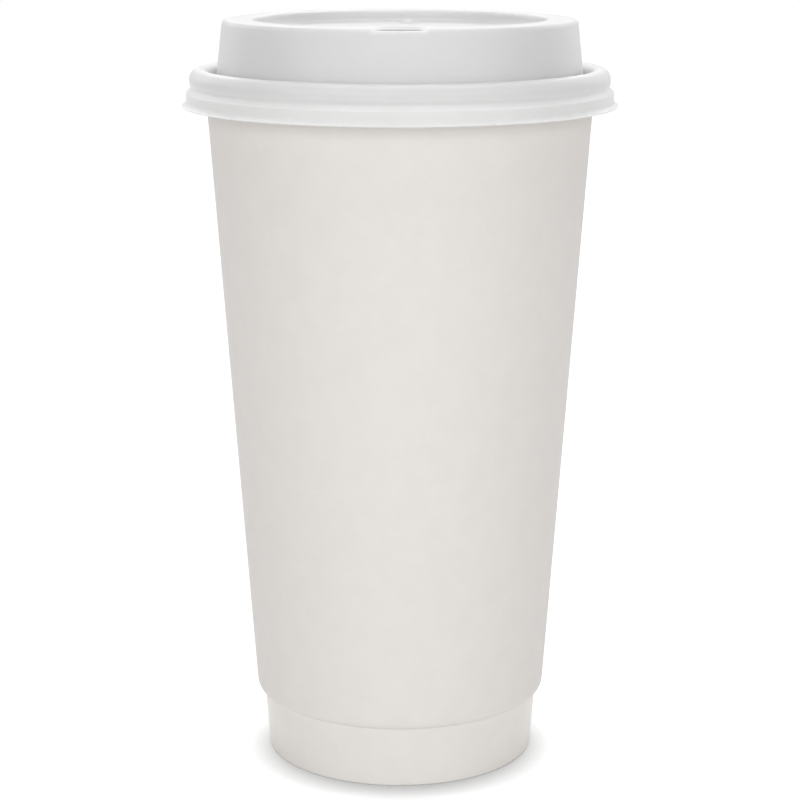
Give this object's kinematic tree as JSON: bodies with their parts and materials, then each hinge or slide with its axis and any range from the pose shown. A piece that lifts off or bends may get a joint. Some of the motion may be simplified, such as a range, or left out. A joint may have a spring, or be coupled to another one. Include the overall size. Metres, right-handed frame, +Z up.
{
  "type": "paper coffee cup with lid",
  "caption": "Double-wall paper hot cup with a rolled rim, curled outer wrap and folded hem, closed by a push-on dome lid with a sip hole.",
  "frame": {"origin": "centre of the foot on the standing plane", "axes": "+Z up along the cup's axis, -Y towards the side with the sip hole, +Y towards the paper's lap seams"},
  "size_m": [0.0946, 0.0946, 0.164],
  "materials": {
    "cup_board": "satin",
    "base_board": "satin",
    "wrap_board": "matte",
    "lid_polystyrene": "satin"
  },
  "bodies": {
    "cup": {"cup_sidewall": "cup_board", "cup_base": "base_board", "outer_wrap": "wrap_board"},
    "lid": {"lid": "lid_polystyrene"}
  },
  "joints": [
    {"name": "lid_lift", "type": "slide", "parent": "cup", "child": "lid", "axis": [0, 0, 1], "range_m": [0, 0.03]}
  ]
}
